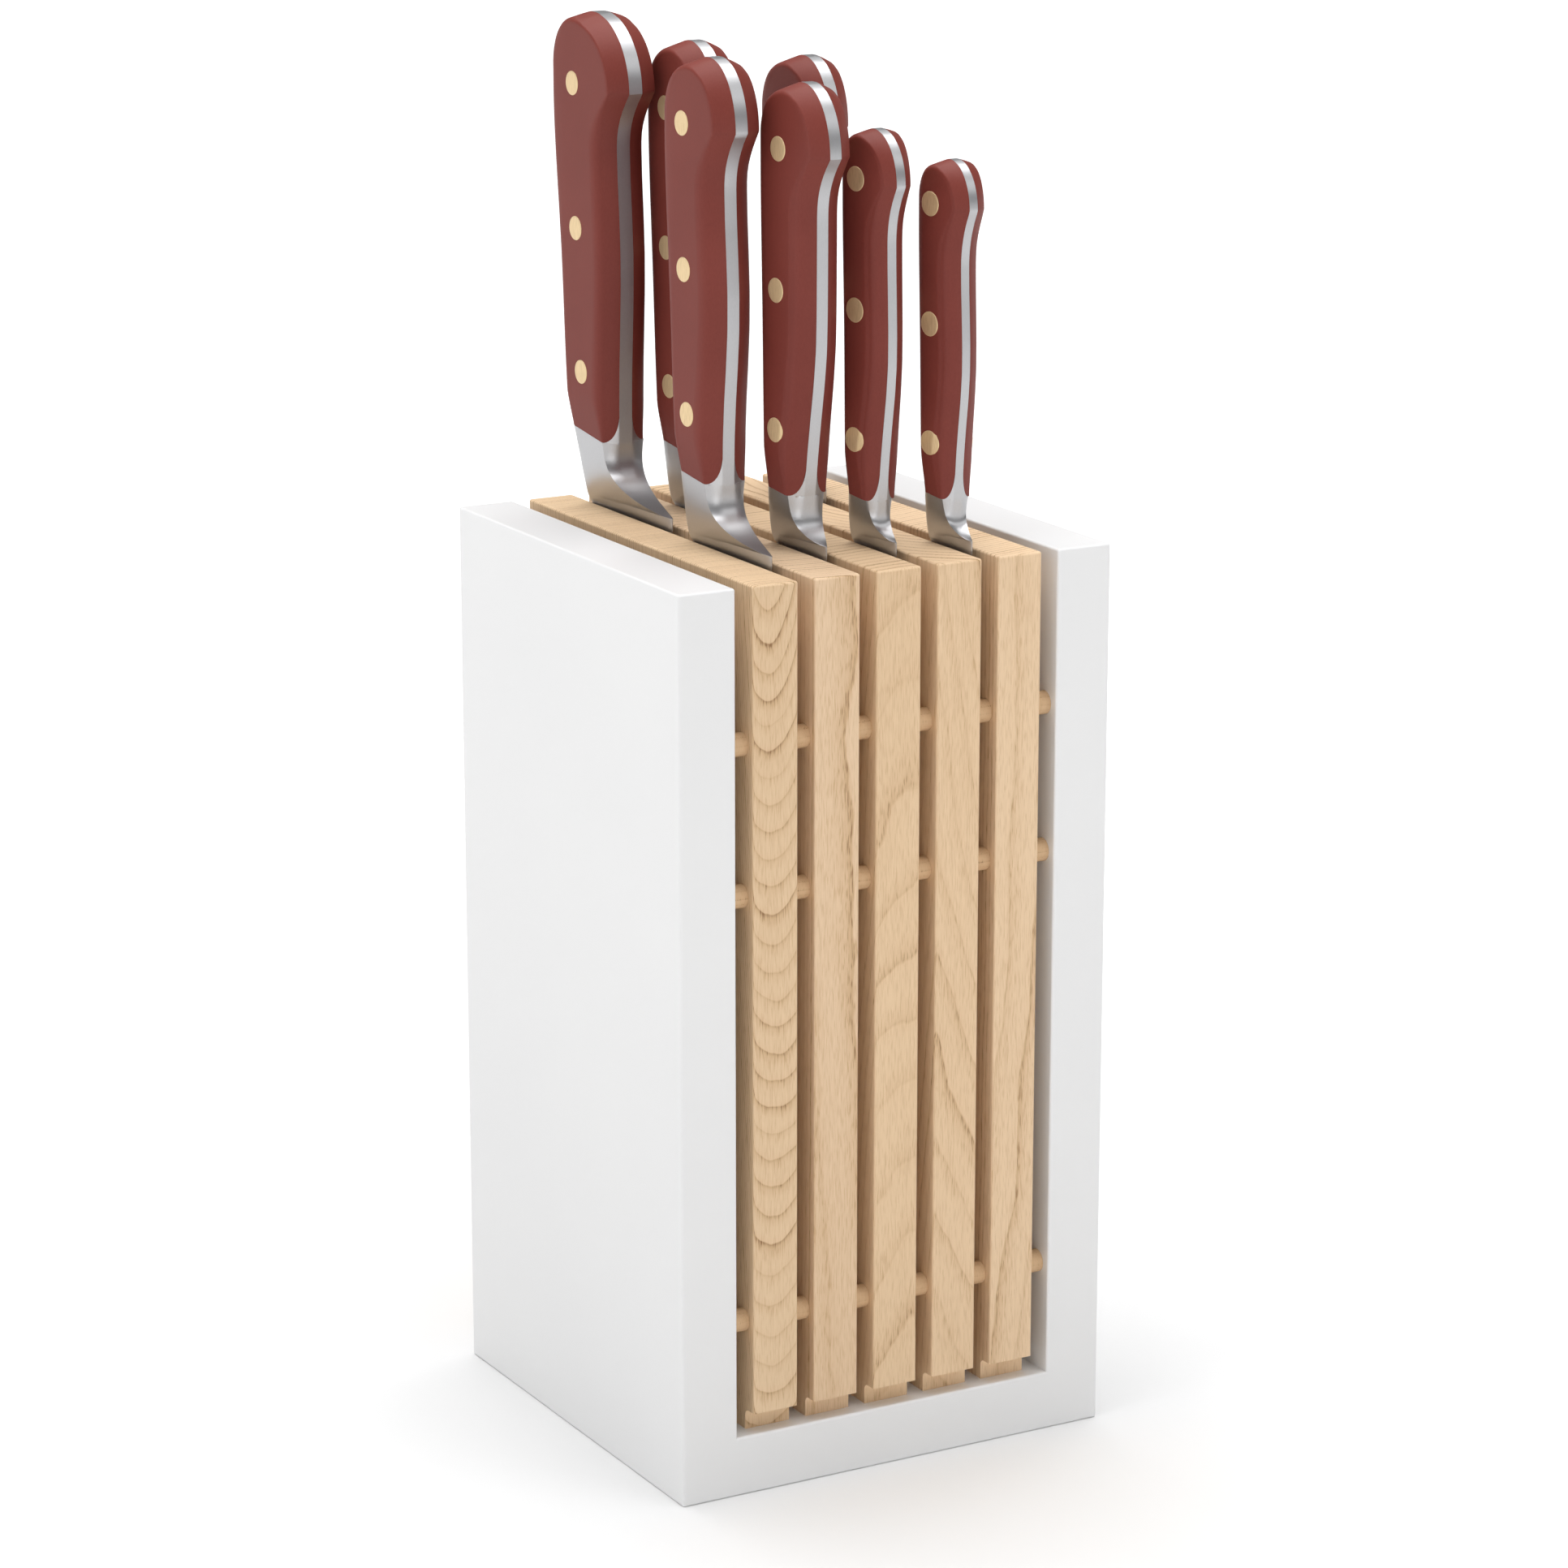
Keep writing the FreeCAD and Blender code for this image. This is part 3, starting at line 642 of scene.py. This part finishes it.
def wood(name, pith, tilt, spacing, waviness, seed, along="z", contrast=1.0, tint=(1.0, 1.0, 1.0)):
    """Ash: growth rings round a pith, dark porous early wood, and fine pores along the grain."""
    n = Nodes(name)
    turn = (0, 0, 0) if along == "z" else (0, math.pi / 2, 0)
    base = n.place(turn=turn)
    slow = n.noise(n.place(scale=(10, 10, 8), move=(seed, seed * 1.7, seed * 0.6), turn=turn), 1.0, 1.5)
    quick = n.noise(n.place(scale=(90, 90, 38), move=(seed, 0, seed), turn=turn), 1.0, 3.0)
    parts = n.add("ShaderNodeSeparateXYZ")
    n.link(base, parts.inputs[0])
    x, y, z = parts.outputs
    dx = n.math("ADD", x, n.math("MULTIPLY_ADD", z, tilt[0], -pith[0]))
    dy = n.math("ADD", y, n.math("MULTIPLY_ADD", z, tilt[1], -pith[1]))
    radius = n.math("SQRT", n.math("ADD", n.math("MULTIPLY", dx, dx), n.math("MULTIPLY", dy, dy)))
    bent = n.math("ADD", radius, n.math("MULTIPLY", n.math("SUBTRACT", slow, 0.5), waviness))
    bent = n.math("ADD", bent, n.math("MULTIPLY", n.math("SUBTRACT", quick, 0.5), 0.6 * spacing))
    counted = n.math("DIVIDE", bent, spacing)
    rings = n.math("FRACT", counted)
    age = n.add("ShaderNodeTexWhiteNoise", noise_dimensions="1D")
    n.link(n.math("FLOOR", counted), age.inputs["W"])
    early = n.ramp(rings, [(0.0, (0.0,) * 3), (0.05, (1.0,) * 3), (0.18, (0.50,) * 3), (0.45, (0.12,) * 3),
                           (0.96, (0.0,) * 3)])
    early = n.math("MULTIPLY", early, n.math("MULTIPLY_ADD", age.outputs["Value"], 0.85, 0.25))
    late = n.ramp(rings, [(0.0, (1.0,) * 3), (0.10, (0.0,) * 3), (0.75, (0.0,) * 3), (1.0, (0.8,) * 3)])
    pores = n.noise(n.place(scale=(3200, 3200, 240), turn=turn), 1.0, 1.0, 0.5)
    dashes = n.ramp(pores, [(0.0, (0.0,) * 3), (0.54, (0.0,) * 3), (0.66, (1.0,) * 3)])
    flecks = n.ramp(pores, [(0.0, (1.0,) * 3), (0.34, (1.0,) * 3), (0.46, (0.0,) * 3)])
    fibre = n.noise(n.place(scale=(1500, 1500, 40), turn=turn, move=(seed, 0, 0)), 1.0, 3.0, 0.6)
    cloud = n.noise(n.place(scale=(26, 26, 5), turn=turn, move=(0, seed, 0)), 1.0, 2.0)
    facing = n.add("ShaderNodeSeparateXYZ")
    n.link(n.add("ShaderNodeTexCoord").outputs["Normal"], facing.inputs[0])
    # Faces cut across the grain, mostly the board tops: real end-grain ring contrast, and also the painted top light
    # below.
    across = n.math("ABSOLUTE", facing.outputs["X" if along == "x" else "Z"])
    shade = n.math("MULTIPLY", early, n.math("MULTIPLY_ADD", across, 0.55, 0.46 * contrast))
    shade = n.math("ADD", shade, n.math("MULTIPLY", late, n.math("MULTIPLY_ADD", across, 0.35, 0.08 * contrast)))
    shade = n.math("ADD", shade, n.math("MULTIPLY", n.math("SUBTRACT", fibre, 0.5), 0.30))
    shade = n.math("ADD", shade, n.math("MULTIPLY", n.math("SUBTRACT", cloud, 0.42), 0.40))
    porous = n.math("MULTIPLY_ADD", early, 0.6, 0.26)
    shade = n.math("ADD", shade, n.math("MULTIPLY", n.math("MULTIPLY", dashes, porous), 0.6))
    shade = n.math("SUBTRACT", shade, n.math("MULTIPLY", flecks, 0.07))
    # Painted highlight: faces across the grain, the board tops, are made paler, standing in for overhead light on the
    # tops.
    shade = n.math("ADD", shade, n.math("MULTIPLY_ADD", across, -0.22, 0.02))
    pale = tuple(a * b for a, b in zip(WOOD_PALE, tint))
    colour = n.ramp(shade, [(0.0, pale), (0.45, WOOD_MIDDLE), (1.0, WOOD_DARK)])
    n.link(colour, n.shader.inputs["Base Color"])
    n.shader.inputs["Roughness"].default_value = 0.6
    n.shader.inputs["Specular IOR Level"].default_value = 0.3
    relief = n.math("ADD", n.math("MULTIPLY", dashes, -0.7), n.math("MULTIPLY", early, -0.4))
    n.bump(relief, 0.3, 0.10 * MM)
    return n.material


WOOD_PALE = (0.80, 0.59, 0.385)
WOOD_MIDDLE = (0.62, 0.415, 0.235)
WOOD_DARK = (0.30, 0.165, 0.075)


def lacquer():
    n = Nodes("white_lacquer")
    n.shader.inputs["Roughness"].default_value = 0.36
    n.shader.inputs["Specular IOR Level"].default_value = 0.4
    peel = n.noise(n.place(), 700.0, 2.0)
    cloud = n.noise(n.place(), 12.0, 2.0)
    colour = n.ramp(cloud, [(0.3, (0.805, 0.805, 0.807)), (0.7, (0.820, 0.820, 0.820))])
    n.link(colour, n.shader.inputs["Base Color"])
    n.bump(peel, 0.05, 0.04 * MM)
    return n.material


def steel():
    n = Nodes("satin_steel")
    n.shader.inputs["Metallic"].default_value = 1.0
    brush = n.noise(n.place(scale=(9000, 9000, 900)), 1.0, 2.0, 0.5)
    grain = n.noise(n.place(), 9000.0, 2.0, 0.5)
    cloud = n.noise(n.place(), 60.0, 2.0)
    mixed = n.math("ADD", n.math("MULTIPLY", brush, 0.6), n.math("MULTIPLY", grain, 0.4))
    tone = n.ramp(mixed, [(0.3, (0.44, 0.44, 0.45)), (0.7, (0.50, 0.50, 0.51))])
    n.link(tone, n.shader.inputs["Base Color"])
    rough = n.math("ADD", n.math("MULTIPLY_ADD", mixed, 0.08, 0.32), n.math("MULTIPLY", cloud, 0.06))
    n.link(rough, n.shader.inputs["Roughness"])
    n.bump(mixed, 0.05, 0.006 * MM)
    return n.material


def scale_plastic():
    n = Nodes("brick_red_scale")
    n.shader.inputs["Specular IOR Level"].default_value = 0.18
    grain = n.noise(n.place(scale=(1, 1, 0.4)), 2400.0, 3.0, 0.6)
    cloud = n.noise(n.place(), 40.0, 2.0)
    tone = n.math("ADD", n.math("MULTIPLY", grain, 0.5), n.math("MULTIPLY", cloud, 0.5))
    colour = n.ramp(tone, [(0.3, (0.178, 0.036, 0.027)), (0.7, (0.212, 0.046, 0.035))])
    n.link(colour, n.shader.inputs["Base Color"])
    rough = n.math("MULTIPLY_ADD", grain, 0.12, 0.42)
    n.link(rough, n.shader.inputs["Roughness"])
    n.bump(grain, 0.08, 0.03 * MM)
    return n.material


def brass():
    n = Nodes("brass_rivet")
    n.shader.inputs["Metallic"].default_value = 0.45
    brush = n.noise(n.place(scale=(900, 4600, 350)), 1.0, 3.0, 0.65)
    tone = n.ramp(brush, [(0.3, (0.68, 0.50, 0.27)), (0.7, (0.86, 0.66, 0.39))])
    n.link(tone, n.shader.inputs["Base Color"])
    rough = n.math("MULTIPLY_ADD", brush, 0.15, 0.38)
    n.link(rough, n.shader.inputs["Roughness"])
    n.bump(brush, 0.12, 0.02 * MM)
    return n.material


def assign(node_name, material):
    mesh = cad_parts[node_name].data
    mesh.materials.clear()
    mesh.materials.append(material)


def finish_block():
    white = lacquer()
    for name in ("left_side_panel", "right_side_panel", "base_panel"):
        assign(name, white)
    # pith x, y in metres; lean of the pith along the grain; ring spacing; waviness; seed; contrast; tint
    boards = (
        ((-0.0375, -0.117), (0.01, -0.14), 0.0011, 0.005, 3.1, 1.3, (0.97, 0.97, 0.95)),
        ((0.020, 0.170), (0.02, 0.00), 0.0021, 0.004, 8.4, 1.0, (1.00, 1.00, 1.02)),
        ((0.012, -0.135), (0.00, 0.13), 0.0030, 0.012, 5.2, 0.7, (0.99, 0.98, 0.95)),
        ((0.060, 0.090), (-0.16, 0.22), 0.0034, 0.012, 1.7, 0.8, (1.00, 0.99, 0.97)),
        ((-0.010, 0.180), (0.02, 0.02), 0.0019, 0.005, 9.6, 1.0, (1.02, 1.02, 1.02)),
    )
    for number, (pith, tilt, spacing, waviness, seed, contrast, tint) in enumerate(boards, 1):
        assign("board_%d" % number, wood("ash_board_%d" % number, pith, tilt, spacing, waviness, seed,
                                         contrast=contrast, tint=tint))
    rod = wood("ash_rod", (0.004, 0.02), (0, 0), 0.0016, 0.002, 4.0, along="x", tint=(0.86, 0.80, 0.72))
    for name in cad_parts:
        if name.endswith("_rod") or name == "base_joint_pins":
            assign(name, rod)


def make_knives():
    blade_steel, plastic, gold = steel(), scale_plastic(), brass()
    for name in KNIVES:
        knife = Knife(name)
        scales = {side: knife.make_scale(side, plastic) for side in (-1, 1)}
        pieces = [knife.make_forging(blade_steel), *scales.values(), knife.make_rivets(scales, gold)]
        for piece in pieces:
            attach(piece, name)


# ---------------------------------------------------------------- stage
def make_stage():
    size = 30.0
    mesh = bpy.data.meshes.new("floor")
    mesh.from_pydata([(-size, -size, 0), (size, -size, 0), (size, size, 0), (-size, size, 0)], [], [(0, 1, 2, 3)])
    floor = bpy.data.objects.new("floor", mesh)
    bpy.context.scene.collection.objects.link(floor)
    n = Nodes("floor")
    n.shader.inputs["Base Color"].default_value = (0.84, 0.84, 0.84, 1)
    n.shader.inputs["Roughness"].default_value = 0.9
    n.shader.inputs["Specular IOR Level"].default_value = 0.0
    distance = n.add("ShaderNodeVectorMath", operation="LENGTH")
    n.link(n.place(), distance.inputs[0])
    glow = n.ramp(n.math("MULTIPLY", distance.outputs["Value"], 0.25),
                  [(0.07, (0.0,) * 3), (0.16, (0.20,) * 3), (0.25, (0.35,) * 3), (0.5, (0.68,) * 3), (1.0, (1.0,) * 3)])
    n.link(glow, n.shader.inputs["Emission Color"])
    n.shader.inputs["Emission Strength"].default_value = 1.0
    mesh.materials.append(n.material)


def area_light(name, place, aim, size, power, colour=(1, 1, 1)):
    data = bpy.data.lights.new(name, "AREA")
    data.shape = "RECTANGLE"
    data.size, data.size_y = size
    data.energy = power
    data.color = colour
    light = bpy.data.objects.new(name, data)
    light.location = place
    light.rotation_mode = "QUATERNION"
    light.rotation_quaternion = (Vector(aim) - Vector(place)).to_track_quat("-Z", "Y")
    bpy.context.scene.collection.objects.link(light)
    return light


def make_world():
    """Soft studio surround: white at the horizon, bright to the upper left, dim to the right."""
    world = bpy.data.worlds.new("studio")
    world.use_nodes = True
    bpy.context.scene.world = world
    tree = world.node_tree
    direction = tree.nodes.new("ShaderNodeTexCoord").outputs["Generated"]
    toward = tree.nodes.new("ShaderNodeVectorMath")
    toward.operation = "DOT_PRODUCT"
    toward.inputs[1].default_value = Vector((-0.85, 0.10, 0.52)).normalized()
    tree.links.new(direction, toward.inputs[0])
    share = tree.nodes.new("ShaderNodeMath")
    share.operation = "MULTIPLY_ADD"
    share.inputs[1].default_value = 0.5
    share.inputs[2].default_value = 0.5
    tree.links.new(toward.outputs["Value"], share.inputs[0])
    ramp = tree.nodes.new("ShaderNodeValToRGB")
    elements = ramp.color_ramp.elements
    elements.new(0.5)
    for element, (place, level) in zip(elements, ((0.0, 0.04), (0.5, 0.10), (1.0, 0.50))):
        element.position = place
        element.color = (level, level, level, 1.0)
    tree.links.new(share.outputs[0], ramp.inputs["Fac"])
    split = tree.nodes.new("ShaderNodeSeparateXYZ")
    tree.links.new(direction, split.inputs[0])
    horizon = tree.nodes.new("ShaderNodeMapRange")
    horizon.inputs["From Min"].default_value = 0.04
    horizon.inputs["From Max"].default_value = 0.12
    horizon.inputs["To Min"].default_value = 1.1
    horizon.inputs["To Max"].default_value = 0.0
    tree.links.new(split.outputs["Z"], horizon.inputs["Value"])
    level = tree.nodes.new("ShaderNodeMath")
    level.operation = "MAXIMUM"
    tree.links.new(ramp.outputs["Color"], level.inputs[0])
    tree.links.new(horizon.outputs["Result"], level.inputs[1])
    background = tree.nodes["Background"]
    tree.links.new(level.outputs[0], background.inputs["Color"])
    background.inputs["Strength"].default_value = WORLD_STRENGTH


def make_lights():
    middle = (0, 0, 0.2)
    area_light("overhead", (0.1, 0.2, 2.3), middle, (2.2, 2.2), OVERHEAD_POWER)
    area_light("key", (-1.9, -0.25, 1.0), middle, (1.3, 1.3), KEY_POWER)
    area_light("card", (0.9, -1.3, 1.5), (0, 0, 0.35), (1.2, 0.8), CARD_POWER)
    front = area_light("front", (-0.4, -1.5, 0.2), (0, 0, 0.08), (0.5, 0.3), FRONT_POWER)
    front.data.spread = math.radians(25)


def make_camera():
    data = bpy.data.cameras.new("camera")
    data.lens = LENS
    data.sensor_width = 36.0
    data.clip_end = 60.0
    camera = bpy.data.objects.new("camera", data)
    a = math.radians(VIEW_AZIMUTH)
    e = math.radians(VIEW_ELEVATION)
    back = Vector((math.sin(a) * math.cos(e), -math.cos(a) * math.cos(e), math.sin(e)))
    camera.location = VIEW_AIM + back * VIEW_DISTANCE
    camera.rotation_mode = "QUATERNION"
    camera.rotation_quaternion = (-back).to_track_quat("-Z", "Y")
    bpy.context.scene.collection.objects.link(camera)
    bpy.context.scene.camera = camera


bpy.context.scene.view_settings.view_transform = "Standard"
make_camera()
make_world()
make_lights()
make_stage()
finish_block()
make_knives()
